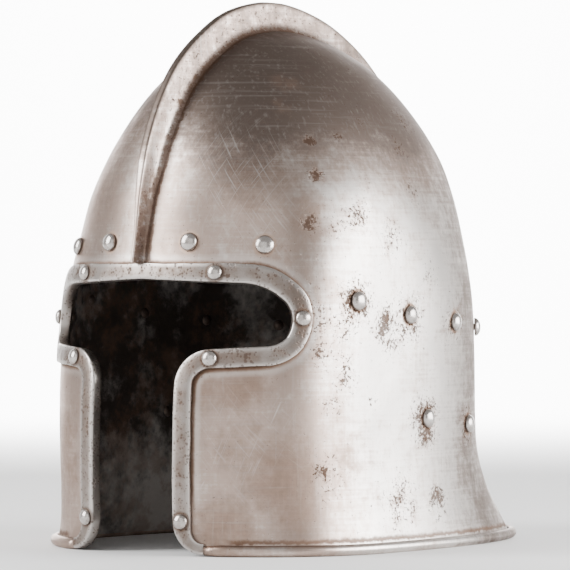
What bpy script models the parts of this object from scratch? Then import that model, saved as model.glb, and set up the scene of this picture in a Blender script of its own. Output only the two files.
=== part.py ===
"""Barbute: a one-piece steel helmet with a T-shaped face opening.

The plate is one raised shell with a comb along its crown and a rolled rim.
A folded steel strip edges the opening, held by rivets, and a row of domed
rivets for the lining runs round the skull.

The wearer looks along -Y, the wearer's left is +X and +Z is up. The helmet
stands on its rim at Z = 0, with the origin under the middle of its box.
"""
import math

import bmesh
import bpy
import numpy as np
from mathutils import Matrix, Vector
from mathutils.bvhtree import BVHTree

# Skull plate, in metres
SKULL_HEIGHT = 0.2885
HALF_WIDTH = 0.0975
FRONT_REACH = 0.118
BACK_REACH = 0.122
PLATE = 0.0018

# Rolled rim along the lower edge
ROLL_HEIGHT = 0.0305 * SKULL_HEIGHT
ROLL_PROUD = 0.0045
ROLL_LIP = 0.0010
ROLL_FADE = 0.006

# Comb along the crown
COMB_HEIGHT = 0.0155
COMB_ROOT_HALF = 0.0060
COMB_CREST_HALF = 0.0030
COMB_END_ROOT = 0.35
COMB_END_CREST = 0.75
COMB_NAPE_HEIGHT = 0.520 * SKULL_HEIGHT

# Face opening, measured on the plate's surface from the middle of the face
SLOT_TOP = 0.513 * SKULL_HEIGHT
SLOT_BOTTOM = 0.3795 * SKULL_HEIGHT
SLOT_REACH = 0.0926
STEM_HALF = 0.0282
CHEEK_RADIUS = 0.0195
CORNER_RADIUS = 0.0182
STRIP_LIFT = 0.0008

# Folded strip round the opening
BAND_WIDTH = 0.0105
BAND_INNER_WIDTH = 0.0070
BAND_OUTER_WALL = 0.0022
BAND_INNER_WALL = 0.0016
BAND_BEVEL = 0.0006
BAND_TAPER = 0.55
BAND_RIVET_TOP = 0.0462
BAND_RIVET_BOTTOM = 0.0180

# Rivets
LINING_HEAD = 0.0104
LINING_DOME = 0.0035
BAND_HEAD = 0.0087
BAND_DOME = 0.0030
SHANK = 0.0036
PEEN = 0.0062
PEEN_DOME = 0.0012
RIVET_SIDES = 8

# Fits
GAP = 0.0003
INNER_GAP = 0.0006
HOLE_PLAY = 0.0003
FOLD_GAP = 0.0004

# Horizontal sections of the plate's outer face, bottom to top.
# Columns: height (share of SKULL_HEIGHT), half width (of HALF_WIDTH),
# front and back reach (of FRONT_REACH and BACK_REACH), the widest station
# ahead of the origin (of FRONT_REACH), and how square the front and back are.
SECTIONS = (
    (0.000, 1.072, 1.024, 1.336, 0.237, 2.15, 2.60),
    (0.052, 1.036, 1.022, 1.246, 0.254, 2.15, 2.60),
    (0.111, 1.010, 1.025, 1.135, 0.271, 2.20, 2.65),
    (0.191, 0.995, 1.021, 1.033, 0.288, 2.30, 2.80),
    (0.312, 0.995, 1.007, 0.992, 0.297, 2.35, 2.95),
    (0.433, 1.000, 0.963, 0.984, 0.297, 2.30, 2.90),
    (0.520, 1.000, 0.939, 1.000, 0.280, 2.15, 2.60),
    (0.596, 0.979, 0.918, 1.020, 0.246, 2.00, 2.30),
    (0.676, 0.908, 0.890, 1.029, 0.203, 2.00, 2.10),
    (0.752, 0.800, 0.831, 0.963, 0.153, 2.00, 2.05),
    (0.825, 0.672, 0.737, 0.836, 0.110, 2.00, 2.00),
    (0.887, 0.533, 0.623, 0.689, 0.076, 2.00, 2.00),
    (0.939, 0.390, 0.466, 0.516, 0.034, 2.00, 2.00),
    (0.981, 0.215, 0.271, 0.295, 0.000, 2.00, 2.00),
    (1.000, 0.000, 0.000, 0.000, 0.000, 2.00, 2.00),
)

# Rows of the loft, as places between the sections above the roll.
LOFT_ROWS = (0.60, 1.0, 1.7, 2.5, 3.2, 3.8, 4.4, 5.0, 5.6, 6.2, 6.9, 7.7, 8.5,
             9.4, 10.3, 11.2, 12.1, 13.0)
LOFT_COLUMNS = 20

# Outer and inner profile of the rolled rim, top to bottom and bottom to top.
# Columns: height (share of ROLL_HEIGHT), reach (of ROLL_PROUD or ROLL_LIP).
ROLL_OUTSIDE = ((1.00, 0.00), (0.84, 0.28), (0.62, 0.88), (0.40, 1.00), (0.10, 0.92), (0.00, 0.70))
ROLL_INSIDE = ((0.00, 0.60), (0.20, 1.00), (0.50, 0.00))

# Corners of the eye slot's end, from the brow round to the cheek.
# Columns: distance (share of SLOT_REACH), height (share of the slot's height
# above SLOT_BOTTOM), radius (share of the slot's height).
SLOT_CORNERS = (
    (0.785, 0.930, 0.900),
    (1.034, 0.535, 0.226),
    (0.928, 0.115, 0.311),
)
OUTLINE_STEPS = 4
OUTLINE_SPACING = 0.012

# Comb from the brow over the crown to the nape.
# Columns: place along its root (share of the run), height (of COMB_HEIGHT).
COMB_RISE = (
    (0.00, 0.09), (0.03, 0.11), (0.06, 0.30), (0.10, 0.56), (0.14, 0.76), (0.18, 0.86),
    (0.24, 0.96), (0.32, 1.00), (0.50, 1.00), (0.60, 0.93), (0.70, 0.80), (0.80, 0.60),
    (0.90, 0.36), (0.97, 0.15), (1.00, 0.08),
)
COMB_STATIONS = 30

# Half section of the comb from root to crest.
# Columns: half width between crest (0) and root (1), height (share).
COMB_PROFILE = ((0.42, 0.12), (0.15, 0.45), (0.04, 0.93), (-0.25, 1.00))

# Rivets, one row for each mirrored pair.
# Columns: name, distance round the plate from the middle of the face
# (share of FRONT_REACH), height (share of SKULL_HEIGHT).
LINING_RIVETS = (
    ("brow_inner", 0.240, 0.583),
    ("brow_outer", 0.600, 0.577),
    ("temple", 1.098, 0.473),
    ("ear", 1.501, 0.446),
    ("rear_side", 1.925, 0.431),
    ("rear", 2.345, 0.420),
    ("nape", 2.730, 0.414),
    ("lower_side", 1.700, 0.248),
    ("lower_rear", 2.145, 0.232),
    ("lower_nape", 2.590, 0.226),
)

# The opening's wedge, as shares of the way out to the plate: it starts well
# inside, keeps true close to the plate and ends well outside.
CUTTER_SPREADS = (0.25, 0.95, 1.03, 2.3)

# Working values: steps of the curves that are looked up, how far out a ray to
# the plate starts, how long the hole cutters are and where corners are merged.
SAMPLES = 241
SPAN_STEPS = 40
RAY_START = 0.010
HOLE_LENGTH = 0.030
MERGE = 0.00005
SHARP_ANGLE = math.radians(35.0)


def clear_scene():
    """Empty the scene of its objects."""
    for item in list(bpy.data.objects):
        bpy.data.objects.remove(item, do_unlink=True)


def new_collection(name):
    """A collection linked to the scene."""
    group = bpy.data.collections.new(name)
    bpy.context.scene.collection.children.link(group)
    return group


def steel(name, colour, roughness):
    """A metal for one kind of piece."""
    material = bpy.data.materials.new(name)
    material.use_nodes = True
    shader = material.node_tree.nodes["Principled BSDF"]
    shader.inputs["Base Color"].default_value = (*colour, 1.0)
    shader.inputs["Metallic"].default_value = 1.0
    shader.inputs["Roughness"].default_value = roughness
    return material


def section_table():
    """The sections in metres, with a mirrored row past each end of the table."""
    scale = (SKULL_HEIGHT, HALF_WIDTH, FRONT_REACH, BACK_REACH, FRONT_REACH, 1.0, 1.0)
    rows = np.array(SECTIONS) * scale
    below = 2.0 * rows[0] - rows[1]
    above = rows[-2] * (1.0, -1.0, -1.0, -1.0, -1.0, 1.0, 1.0)
    return np.vstack((below, rows, above))


TABLE = section_table()
LAST_ROW = len(SECTIONS) - 1


def section_at(place):
    """Sections at fractional places in the table, on a smooth curve through its rows."""
    place = np.clip(np.asarray(place, float), 0.0, LAST_ROW)
    start = np.minimum(place.astype(int), LAST_ROW - 1)
    t = (place - start)[..., None]
    before, here, after, beyond = (TABLE[start + step] for step in range(4))
    curve = 2.0 * here + (after - before) * t
    curve = curve + (2.0 * before - 5.0 * here + 4.0 * after - beyond) * t ** 2
    curve = curve + (3.0 * here - before - 3.0 * after + beyond) * t ** 3
    return 0.5 * curve


def place_of_height(height):
    """Where in the table the plate has this height."""
    places = np.linspace(0.0, LAST_ROW, SPAN_STEPS * LAST_ROW + 1)
    return np.interp(height, section_at(places)[:, 0], places)


def on_section(place, turn):
    """Points on the plate's outer face. Turn runs from 0 at the face to pi at the nape."""
    place, turn = np.broadcast_arrays(np.asarray(place, float), np.asarray(turn, float))
    rows = section_at(place)
    height, width, front, back, middle, front_square, back_square = np.moveaxis(rows, -1, 0)
    ahead = turn < math.pi / 2.0
    power = 2.0 / np.where(ahead, front_square, back_square)
    side, along = np.sin(turn), np.cos(turn)
    reach = np.where(ahead, middle - front, back + middle)
    x = width * np.sign(side) * np.abs(side) ** power
    y = reach * np.abs(along) ** power - middle
    return np.stack((x, y, height), axis=-1)


def on_plate(place, turn, out=0.0):
    """Points a distance out from the plate's outer face, and the face's normals there."""
    step = 1.0e-3
    place = np.asarray(place, float)
    low = np.clip(place - step, 0.0, LAST_ROW)
    high = np.clip(place + step, 0.0, LAST_ROW)
    across = on_section(place, turn + step) - on_section(place, turn - step)
    upward = on_section(high, turn) - on_section(low, turn)
    normal = np.cross(across, upward)
    normal = normal / np.linalg.norm(normal, axis=-1, keepdims=True)
    point = on_section(place, turn) + normal * np.asarray(out)[..., None]
    return point, normal


def run_of_turn(place):
    """Turns round a section and the distance from the middle of the face at each."""
    turns = np.linspace(0.0, math.pi, SAMPLES)
    ring = on_section(place, turns)
    lengths = np.linalg.norm(np.diff(ring, axis=0), axis=1)
    return turns, np.concatenate(((0.0,), np.cumsum(lengths)))


def turn_at(place, distance):
    """The turn at a distance round the plate from the middle of the face."""
    turns, run = run_of_turn(place)
    return np.interp(distance, run, turns)


def wrapped(distance, height, out=0.0):
    """A point given by its distance round the plate and its height, and the normal there."""
    place = place_of_height(max(height, 0.0))
    point, normal = on_plate(place, turn_at(place, distance), out)
    if height < 0.0:
        point[2] = height
    return point, normal


def rounded_corner(before, corner, after, steps):
    """Points of a round corner (distance, height, radius) and directions into the plate.

    The opening lies to the right of the way from before to after.
    """
    here = np.array(corner[:2])
    entry = np.array(before[:2]) - here
    leave = np.array(after[:2]) - here
    entry = entry / np.linalg.norm(entry)
    leave = leave / np.linalg.norm(leave)
    half = math.acos(float(np.clip(entry @ leave, -1.0, 1.0))) / 2.0
    middle = (entry + leave) / np.linalg.norm(entry + leave)
    centre = here + middle * corner[2] / math.sin(half)
    turning = np.sign(entry[0] * leave[1] - entry[1] * leave[0])
    first = here + entry * corner[2] / math.tan(half) - centre
    last = here + leave * corner[2] / math.tan(half) - centre
    start = math.atan2(first[1], first[0])
    sweep = math.atan2(last[1], last[0]) - start
    sweep = (sweep + math.pi) % (2.0 * math.pi) - math.pi
    angles = start + sweep * np.linspace(0.0, 1.0, steps + 1)
    spokes = np.stack((np.cos(angles), np.sin(angles)), axis=1)
    return centre + spokes * corner[2], spokes * turning


def opening_outline():
    """The strip's visible edge round half the opening, from the brow to the rim.

    Returns points (distance, height) and unit directions into the plate.
    """
    slot = SLOT_TOP - SLOT_BOTTOM
    corners = [(0.0, SLOT_TOP)]
    for distance, height, radius in SLOT_CORNERS:
        corners.append((distance * SLOT_REACH, SLOT_BOTTOM + height * slot, radius * slot))
    corners.append((STEM_HALF, SLOT_BOTTOM, CHEEK_RADIUS))
    corners.append((STEM_HALF, STRIP_LIFT, CORNER_RADIUS))
    corners.append((STEM_HALF + SLOT_REACH, STRIP_LIFT))
    points = [np.array([corners[0]])]
    inward = [np.array([(0.0, 1.0)])]
    for before, corner, after in zip(corners, corners[1:], corners[2:]):
        arc, spokes = rounded_corner(before, corner, after, OUTLINE_STEPS)
        run = np.linalg.norm(arc[0] - points[-1][-1])
        shares = np.linspace(0.0, 1.0, int(run / OUTLINE_SPACING) + 2)[1:-1, None]
        points.append(points[-1][-1] * (1.0 - shares) + arc[0] * shares)
        inward.append(inward[-1][-1] * (1.0 - shares) + spokes[0] * shares)
        points.append(arc)
        inward.append(spokes)
    return np.concatenate(points), np.concatenate(inward)


def corner_end():
    """Distance round the plate at which the strip ends."""
    return STEM_HALF + CORNER_RADIUS


def roll_start():
    """Distance round the plate at which the rolled rim begins to rise."""
    return corner_end() + 3.0 * GAP


def mesh_object(name, vertices, faces, group, recalculate=True):
    """An object from corners and faces, with its faces turned outwards."""
    mesh = bpy.data.meshes.new(name)
    mesh.from_pydata([tuple(v) for v in vertices], [], faces)
    if recalculate:
        shape = bmesh.new()
        shape.from_mesh(mesh)
        bmesh.ops.recalc_face_normals(shape, faces=shape.faces)
        shape.to_mesh(mesh)
        shape.free()
    item = bpy.data.objects.new(name, mesh)
    group.objects.link(item)
    return item


def loft_faces(rings, count, closed):
    """Quads between rings of equal length, with the rings numbered one after another."""
    faces = []
    last = count if closed else count - 1
    for ring in range(rings - 1):
        for step in range(last):
            here = ring * count + step
            beside = ring * count + (step + 1) % count
            faces.append((here, here + count, beside + count, beside))
    return faces


def finish(item, material):
    """Give a piece its material and smooth shading with sharp edges kept."""
    item.data.materials.append(material)
    item.data.shade_smooth()
    item.data.set_sharp_from_angle(angle=SHARP_ANGLE)


def add_mirror(item):
    """Mirror a half that is open at the middle plane."""
    mirror = item.modifiers.new("mirror", "MIRROR")
    mirror.use_axis = (True, False, False)
    mirror.use_clip = True
    mirror.merge_threshold = MERGE


def add_boolean(item, other, operation):
    """Join another object to this one, or cut it away."""
    change = item.modifiers.new(other.name, "BOOLEAN")
    change.operation = operation
    change.object = other
    change.solver = "EXACT"


def make_skull_half(group):
    """Half of the plate: outer face, rolled rim and inner face as one loft."""
    turns = np.linspace(0.0, math.pi, LOFT_COLUMNS + 1)
    rim_turns, rim_runs = run_of_turn(0.0)
    edges = np.array((0.0, 0.5, 1.0)) * ROLL_FADE + roll_start()
    turns = np.sort(np.concatenate((turns, np.interp(edges, rim_runs, rim_turns))))
    shares = np.interp(turns, rim_turns, rim_runs)
    shares = np.clip((shares - roll_start()) / ROLL_FADE, 0.0, 1.0)
    sideways = on_plate(0.0, turns)[1] * (1.0, 1.0, 0.0)
    sideways = sideways / np.linalg.norm(sideways, axis=1, keepdims=True)
    rings = []
    for place in reversed(LOFT_ROWS):
        rings.append(on_section(place, turns))
    for height, reach in ROLL_OUTSIDE:
        level = on_section(place_of_height(height * ROLL_HEIGHT), turns)
        rings.append(level + sideways * (reach * ROLL_PROUD * shares)[:, None])
    for height, reach in ROLL_INSIDE:
        level = on_section(place_of_height(height * ROLL_HEIGHT), turns)
        rings.append(level - sideways * (PLATE + reach * ROLL_LIP * shares)[:, None])
    for place in LOFT_ROWS:
        rings.append(on_plate(place, turns, -PLATE)[0])
    top = on_section(LAST_ROW, 0.0)
    vertices = [top, top - (0.0, 0.0, PLATE)]
    vertices.extend(np.concatenate(rings))
    count = len(turns)
    faces = [tuple(corner + 2 for corner in face) for face in loft_faces(len(rings), count, False)]
    inner = 2 + (len(rings) - 1) * count
    for step in range(count - 1):
        faces.append((0, 2 + step, 3 + step))
        faces.append((1, inner + step + 1, inner + step))
    item = mesh_object("skull", vertices, faces, group, recalculate=False)
    add_mirror(item)
    return item


def evaluated_tree(item):
    """A search tree over an object's evaluated faces."""
    return BVHTree.FromObject(item, bpy.context.evaluated_depsgraph_get())


def seat(tree, point, normal):
    """The spot on the plate's outer face under a point."""
    hit = tree.ray_cast(Vector(point + normal * RAY_START), Vector(-normal))[0]
    return np.array(hit)


def comb_path():
    """The comb's root from the brow over the crown to the nape, evenly spaced."""
    start = SLOT_TOP + BAND_WIDTH + 2.0 * GAP
    up = np.linspace(place_of_height(start), LAST_ROW, SAMPLES)
    down = np.linspace(LAST_ROW, place_of_height(COMB_NAPE_HEIGHT), SAMPLES)[1:]
    line = np.concatenate((on_section(up, 0.0), on_section(down, math.pi)))
    lengths = np.linalg.norm(np.diff(line, axis=0), axis=1)
    run = np.concatenate(((0.0,), np.cumsum(lengths))) / lengths.sum()
    shares = np.linspace(0.0, 1.0, COMB_STATIONS)
    root = np.stack([np.interp(shares, run, line[:, axis]) for axis in range(3)], axis=1)
    along = np.gradient(root, axis=0)
    normal = np.stack((0.0 * shares, -along[:, 2], along[:, 1]), axis=1)
    return shares, root, normal / np.linalg.norm(normal, axis=1, keepdims=True)


def make_comb(tree, group):
    """The comb as a tapering fin whose foot lies inside the plate."""
    shares, root, normals = comb_path()
    places, rises = np.transpose(COMB_RISE)
    heights = np.interp(shares, places, rises)
    rings = []
    for point, normal, rise in zip(root, normals, heights):
        half = COMB_ROOT_HALF * min(1.0, COMB_END_ROOT + rise)
        crest = COMB_CREST_HALF * min(1.0, COMB_END_CREST + rise)
        side = np.array((half, 0.0, 0.0))
        foot = seat(tree, point + side, normal) - normal * PLATE / 2.0
        ring = [foot * (-1.0, 1.0, 1.0), foot]
        flank = [(crest + wide * (half - crest), high * rise * COMB_HEIGHT) for wide, high in COMB_PROFILE]
        ring.extend(point + normal * high + (wide, 0.0, 0.0) for wide, high in flank)
        ring.extend(point + normal * high - (wide, 0.0, 0.0) for wide, high in reversed(flank))
        rings.append(ring)
    count = len(rings[0])
    faces = loft_faces(len(rings), count, True)
    faces.append(tuple(range(count)))
    faces.append(tuple(range((len(rings) - 1) * count, len(rings) * count)))
    return mesh_object("comb_form", np.concatenate(rings), faces, group)


def make_opening_cutter(group):
    """A wedge that cuts the face opening from the inside of the helmet outwards."""
    points, inward = opening_outline()
    edge = BAND_INNER_WALL + FOLD_GAP
    points = points + inward * edge
    end = corner_end() + GAP
    below = -ROLL_HEIGHT
    tail = np.array(((end, STRIP_LIFT + edge), (end, below), (0.0, below)))
    loop = np.array([wrapped(*point)[0] for point in np.concatenate((points, tail))])
    mirrored = loop[1:-1][::-1] * (-1.0, 1.0, 1.0)
    loop = np.concatenate((loop, mirrored))
    centre = np.array((0.0, -FRONT_REACH / 8.0, 0.0))
    rings = []
    for spread in CUTTER_SPREADS:
        rings.append(centre + (loop - centre) * (spread, spread, 1.0))
    count = len(loop)
    faces = loft_faces(len(rings), count, True)
    # The outline falls all the way from brow to rim, so level strips close both ends.
    half = count // 2
    for step in range(half):
        band = [step, step + 1, (count - step - 1) % count, (count - step) % count]
        level = list(dict.fromkeys(band))
        faces.append(tuple(level))
        faces.append(tuple(corner + (len(rings) - 1) * count for corner in level))
    return mesh_object("opening_form", np.concatenate(rings), faces, group)


def strip_section(width, inner_width):
    """The folded strip's section: distance from its visible edge, and height on the plate."""
    top = GAP + BAND_OUTER_WALL
    under = -(PLATE + INNER_GAP)
    low = under - BAND_INNER_WALL
    fold = BAND_INNER_WALL
    soft = 2.0 * BAND_BEVEL
    return (
        (width, GAP), (width, top - BAND_BEVEL), (width - BAND_BEVEL, top), (soft, top), (0.0, top - soft),
        (0.0, low + soft), (soft, low), (inner_width, low), (inner_width, under), (fold, under), (fold, GAP),
    )


def make_face_band(group):
    """The steel strip folded over the opening's edge, as a half swept along its outline."""
    points, inward = opening_outline()
    fall = np.clip(1.0 - (points[:, 1] - STRIP_LIFT) / CORNER_RADIUS, 0.0, 1.0)
    narrowing = 1.0 - (1.0 - BAND_TAPER) * fall ** 2
    rings = []
    for point, direction, share in zip(points, inward, narrowing):
        ring = []
        for across, out in strip_section(BAND_WIDTH * share, BAND_INNER_WIDTH * share):
            spot = point + direction * across
            ring.append(wrapped(spot[0], spot[1], out)[0])
        rings.append(np.array(ring))
    rings[0][:, 0] = 0.0
    count = len(rings[0])
    faces = loft_faces(len(rings), count, True)
    faces.append(tuple(range((len(rings) - 1) * count, len(rings) * count)))
    item = mesh_object("face_band", np.concatenate(rings), faces, group)
    add_mirror(item)
    return item


def rivet_mesh(name, head, dome, grip):
    """A rivet's outline for turning: domed head, shank and peened end.

    Grip is the depth from the face that the head sits on to the peened end.
    """
    radius, shank, peen = head / 2.0, SHANK / 2.0, PEEN / 2.0
    outline = (
        (0.0, GAP + dome), (0.55 * radius, GAP + 0.86 * dome), (0.9 * radius, GAP + 0.42 * dome), (radius, GAP),
        (shank, GAP), (shank, -grip), (peen, -grip), (0.0, -grip - PEEN_DOME),
    )
    mesh = bpy.data.meshes.new(name)
    corners = [(across, 0.0, high) for across, high in outline]
    mesh.from_pydata(corners, [(step, step + 1) for step in range(len(corners) - 1)], [])
    return mesh


def make_rivet(name, mesh, place, group):
    """One rivet turned from its outline, its head out along the plate's normal."""
    item = bpy.data.objects.new(name, mesh)
    group.objects.link(item)
    item.matrix_world = place
    turning = item.modifiers.new("turn", "SCREW")
    turning.steps = RIVET_SIDES
    turning.render_steps = RIVET_SIDES
    turning.use_merge_vertices = True
    turning.merge_threshold = MERGE
    return item


def placement(point, normal):
    """A frame at a point with Z along the normal."""
    turned = Vector(normal).to_track_quat("Z", "Y").to_matrix().to_4x4()
    return Matrix.Translation(Vector(point)) @ turned


def lining_places(tree):
    """Names and frames of the lining rivets, in mirrored pairs."""
    places = []
    for name, distance, height in LINING_RIVETS:
        point, normal = wrapped(distance * FRONT_REACH, height * SKULL_HEIGHT)
        point = seat(tree, point, normal)
        for side, flip in (("left", 1.0), ("right", -1.0)):
            mirror = (flip, 1.0, 1.0)
            places.append((f"lining_rivet_{name}_{side}", placement(point * mirror, normal * mirror)))
    return places


def band_places():
    """Names and frames of the strip's rivets, in mirrored pairs."""
    points, inward = opening_outline()
    targets = (
        ("brow", BAND_RIVET_TOP, SLOT_TOP),
        ("temple", SLOT_REACH, (SLOT_TOP + SLOT_BOTTOM) / 2.0),
        ("cheek", STEM_HALF + CHEEK_RADIUS, SLOT_BOTTOM),
        ("chin", STEM_HALF, BAND_RIVET_BOTTOM),
    )
    steps = np.linspace(0.0, len(points) - 1.0, SPAN_STEPS * len(points))
    index = np.arange(len(points))
    line = np.stack([np.interp(steps, index, points[:, axis]) for axis in range(2)], axis=1)
    away = np.stack([np.interp(steps, index, inward[:, axis]) for axis in range(2)], axis=1)
    places = []
    for name, distance, height in targets:
        near = np.argmin(np.linalg.norm(line - (distance, height), axis=1))
        spot = line[near] + away[near] * BAND_WIDTH / 2.0
        point, normal = wrapped(spot[0], spot[1], GAP + BAND_OUTER_WALL)
        for side, flip in (("left", 1.0), ("right", -1.0)):
            mirror = (flip, 1.0, 1.0)
            places.append((f"band_rivet_{name}_{side}", placement(point * mirror, normal * mirror)))
    return places


def make_hole_cutter(places, group):
    """Rods that drill every rivet hole."""
    shape = bmesh.new()
    radius = SHANK / 2.0 + HOLE_PLAY
    for _, place in places:
        bmesh.ops.create_cone(
            shape, cap_ends=True, segments=RIVET_SIDES, radius1=radius, radius2=radius,
            depth=HOLE_LENGTH, matrix=place)
    mesh = bpy.data.meshes.new("rivet_hole_form")
    shape.to_mesh(mesh)
    shape.free()
    item = bpy.data.objects.new("rivet_hole_form", mesh)
    group.objects.link(item)
    return item


def stand_on_origin(parts, forms):
    """Carry everything on an empty so that the middle of the box is over the origin."""
    graph = bpy.context.evaluated_depsgraph_get()
    reach = []
    for item in parts:
        seen = item.evaluated_get(graph)
        reach.extend((item.matrix_world @ corner.co).y for corner in seen.to_mesh().vertices)
        seen.to_mesh_clear()
    base = bpy.data.objects.new("barbute_origin", None)
    parts[0].users_collection[0].objects.link(base)
    for item in parts + forms:
        item.parent = base
    base.location.y = -(min(reach) + max(reach)) / 2.0


def build():
    """Make the helmet."""
    clear_scene()
    parts_group = new_collection("barbute")
    forms_group = new_collection("barbute_forms")
    plate_steel = steel("plate_steel", (0.56, 0.52, 0.50), 0.38)
    strip_steel = steel("strip_steel", (0.46, 0.42, 0.39), 0.42)
    rivet_steel = steel("rivet_steel", (0.68, 0.66, 0.64), 0.25)

    skull = make_skull_half(parts_group)
    bpy.context.view_layer.update()
    tree = evaluated_tree(skull)
    comb = make_comb(tree, forms_group)
    opening = make_opening_cutter(forms_group)
    lining, strip = lining_places(tree), band_places()
    holes = make_hole_cutter(lining + strip, forms_group)
    add_boolean(skull, comb, "UNION")
    add_boolean(skull, opening, "DIFFERENCE")
    add_boolean(skull, holes, "DIFFERENCE")
    finish(skull, plate_steel)

    band = make_face_band(parts_group)
    add_boolean(band, holes, "DIFFERENCE")
    finish(band, strip_steel)

    parts = [skull, band]
    strip_depth = BAND_OUTER_WALL + GAP + PLATE + BAND_INNER_WALL + 2.0 * INNER_GAP
    lining_mesh = rivet_mesh("lining_rivet", LINING_HEAD, LINING_DOME, PLATE + INNER_GAP)
    band_mesh = rivet_mesh("band_rivet", BAND_HEAD, BAND_DOME, strip_depth)
    for places, mesh in ((lining, lining_mesh), (strip, band_mesh)):
        mesh.materials.append(rivet_steel)
        parts.extend(make_rivet(name, mesh, place, parts_group) for name, place in places)

    forms = [comb, opening, holes]
    for form in forms:
        form.hide_render = True
        form.display_type = "WIRE"
    bpy.context.view_layer.update()
    stand_on_origin(parts, forms)


build()
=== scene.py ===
import math

import bpy
import numpy as np
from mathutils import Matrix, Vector


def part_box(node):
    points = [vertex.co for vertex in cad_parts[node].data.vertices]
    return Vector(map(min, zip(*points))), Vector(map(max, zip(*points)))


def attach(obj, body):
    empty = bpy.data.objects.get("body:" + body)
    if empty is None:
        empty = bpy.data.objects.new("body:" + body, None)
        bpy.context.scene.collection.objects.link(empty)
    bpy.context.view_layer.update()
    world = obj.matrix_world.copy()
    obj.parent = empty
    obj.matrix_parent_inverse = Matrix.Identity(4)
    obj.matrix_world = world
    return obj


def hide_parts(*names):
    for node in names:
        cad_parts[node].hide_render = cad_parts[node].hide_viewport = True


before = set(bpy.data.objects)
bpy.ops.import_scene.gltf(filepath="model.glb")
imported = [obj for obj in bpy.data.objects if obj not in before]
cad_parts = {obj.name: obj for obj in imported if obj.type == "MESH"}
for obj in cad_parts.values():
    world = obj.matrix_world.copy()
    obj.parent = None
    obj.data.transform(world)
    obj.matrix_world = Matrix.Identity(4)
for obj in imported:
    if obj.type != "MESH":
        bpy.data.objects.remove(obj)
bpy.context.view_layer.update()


# Skull plate
# One sheet of steel, raised hot over stakes into a close skull that flares over the nape. The T of
# the face is cut out of it, and its lower edge is rolled outwards into a bead that stiffens it.

skull_low, skull_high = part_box("skull")
skull_length = skull_high.y - skull_low.y
front_share = 0.41504
back_share = 0.42911
front_reach = front_share * skull_length
back_reach = back_share * skull_length
rim_spread = 0.0110
half_width = skull_high.x - rim_spread
comb_over_skull = 0.0153
skull_height = skull_high.z - comb_over_skull
plate_thickness = 0.0018
dent_depth = 0.00022

# Columns: height, half width, front reach, back reach, widest station ahead of the middle, and how
# square the front and the back are. Lengths are shares of the skull's height, width and reaches.
plate_sections = np.array((
    (0.000, 1.072, 1.024, 1.336, 0.237, 2.15, 2.60),
    (0.052, 1.036, 1.022, 1.246, 0.254, 2.15, 2.60),
    (0.111, 1.010, 1.025, 1.135, 0.271, 2.20, 2.65),
    (0.191, 0.995, 1.021, 1.033, 0.288, 2.30, 2.80),
    (0.312, 0.995, 1.007, 0.992, 0.297, 2.35, 2.95),
    (0.433, 1.000, 0.963, 0.984, 0.297, 2.30, 2.90),
    (0.520, 1.000, 0.939, 1.000, 0.280, 2.15, 2.60),
    (0.596, 0.979, 0.918, 1.020, 0.246, 2.00, 2.30),
    (0.676, 0.914, 0.890, 1.036, 0.203, 2.00, 2.10),
    (0.752, 0.816, 0.831, 0.985, 0.153, 2.00, 2.05),
    (0.825, 0.694, 0.737, 0.870, 0.110, 2.00, 2.00),
    (0.887, 0.555, 0.623, 0.724, 0.076, 2.00, 2.00),
    (0.939, 0.404, 0.466, 0.540, 0.034, 2.00, 2.00),
    (0.981, 0.215, 0.271, 0.295, 0.000, 2.00, 2.00),
    (1.000, 0.000, 0.000, 0.000, 0.000, 2.00, 2.00),
))
section_units = (skull_height, half_width, front_reach, back_reach, front_reach, 1.0, 1.0)
section_rows = plate_sections * section_units
section_rows = np.vstack((
    2.0 * section_rows[0] - section_rows[1],
    section_rows,
    section_rows[-2] * (1.0, -1.0, -1.0, -1.0, -1.0, 1.0, 1.0),
))
apex_place = len(plate_sections) - 1.0


def section_at(place):
    """Section measures at a place between the table's rows.

    Each measure is the cubic through four neighbouring rows whose slope at a row is half the
    difference of the rows beside it.
    """
    place = np.clip(np.asarray(place, float), 0.0, apex_place)
    start = np.minimum(place.astype(int), int(apex_place) - 1)
    t = (place - start)[..., None]
    before, here, after, beyond = (section_rows[start + step] for step in range(4))
    curve = 2.0 * here + (after - before) * t
    curve = curve + (2.0 * before - 5.0 * here + 4.0 * after - beyond) * t ** 2
    curve = curve + (3.0 * here - before - 3.0 * after + beyond) * t ** 3
    return 0.5 * curve


table_samples = 1401
table_places = np.linspace(0.0, apex_place, table_samples)
table_heights = section_at(table_places)[:, 0]


def place_of_height(height):
    """The place in the table at which the plate has this height, read from the rising heights."""
    return np.interp(height, table_heights, table_places)


def plate_point(place, turn):
    """The plate's outer face.

    Across is the half width times the sine of the turn to the power 2/n, and along is the reach
    times its cosine to the same power, from the widest station, with n and the reach of the front
    or of the back. Turn is 0 at the face and half a circle at the nape.
    """
    height, width, front, back, middle, front_square, back_square = np.moveaxis(section_at(place), -1, 0)
    ahead = np.abs(turn) < math.pi / 2.0
    power = 2.0 / np.where(ahead, front_square, back_square)
    reach = np.where(ahead, middle - front, back + middle)
    across = width * np.sign(np.sin(turn)) * np.abs(np.sin(turn)) ** power
    along = reach * np.abs(np.cos(turn)) ** power - middle
    return np.stack(np.broadcast_arrays(across, along, height), axis=-1)


def unit(vectors):
    """Each vector over its own length."""
    return vectors / np.linalg.norm(vectors, axis=-1, keepdims=True)


def run_along(points):
    """How far along a chain of points each of them lies: the sum of the steps before it."""
    steps = np.linalg.norm(np.diff(points, axis=0), axis=1)
    return np.concatenate(((0.0,), np.cumsum(steps)))


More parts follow.
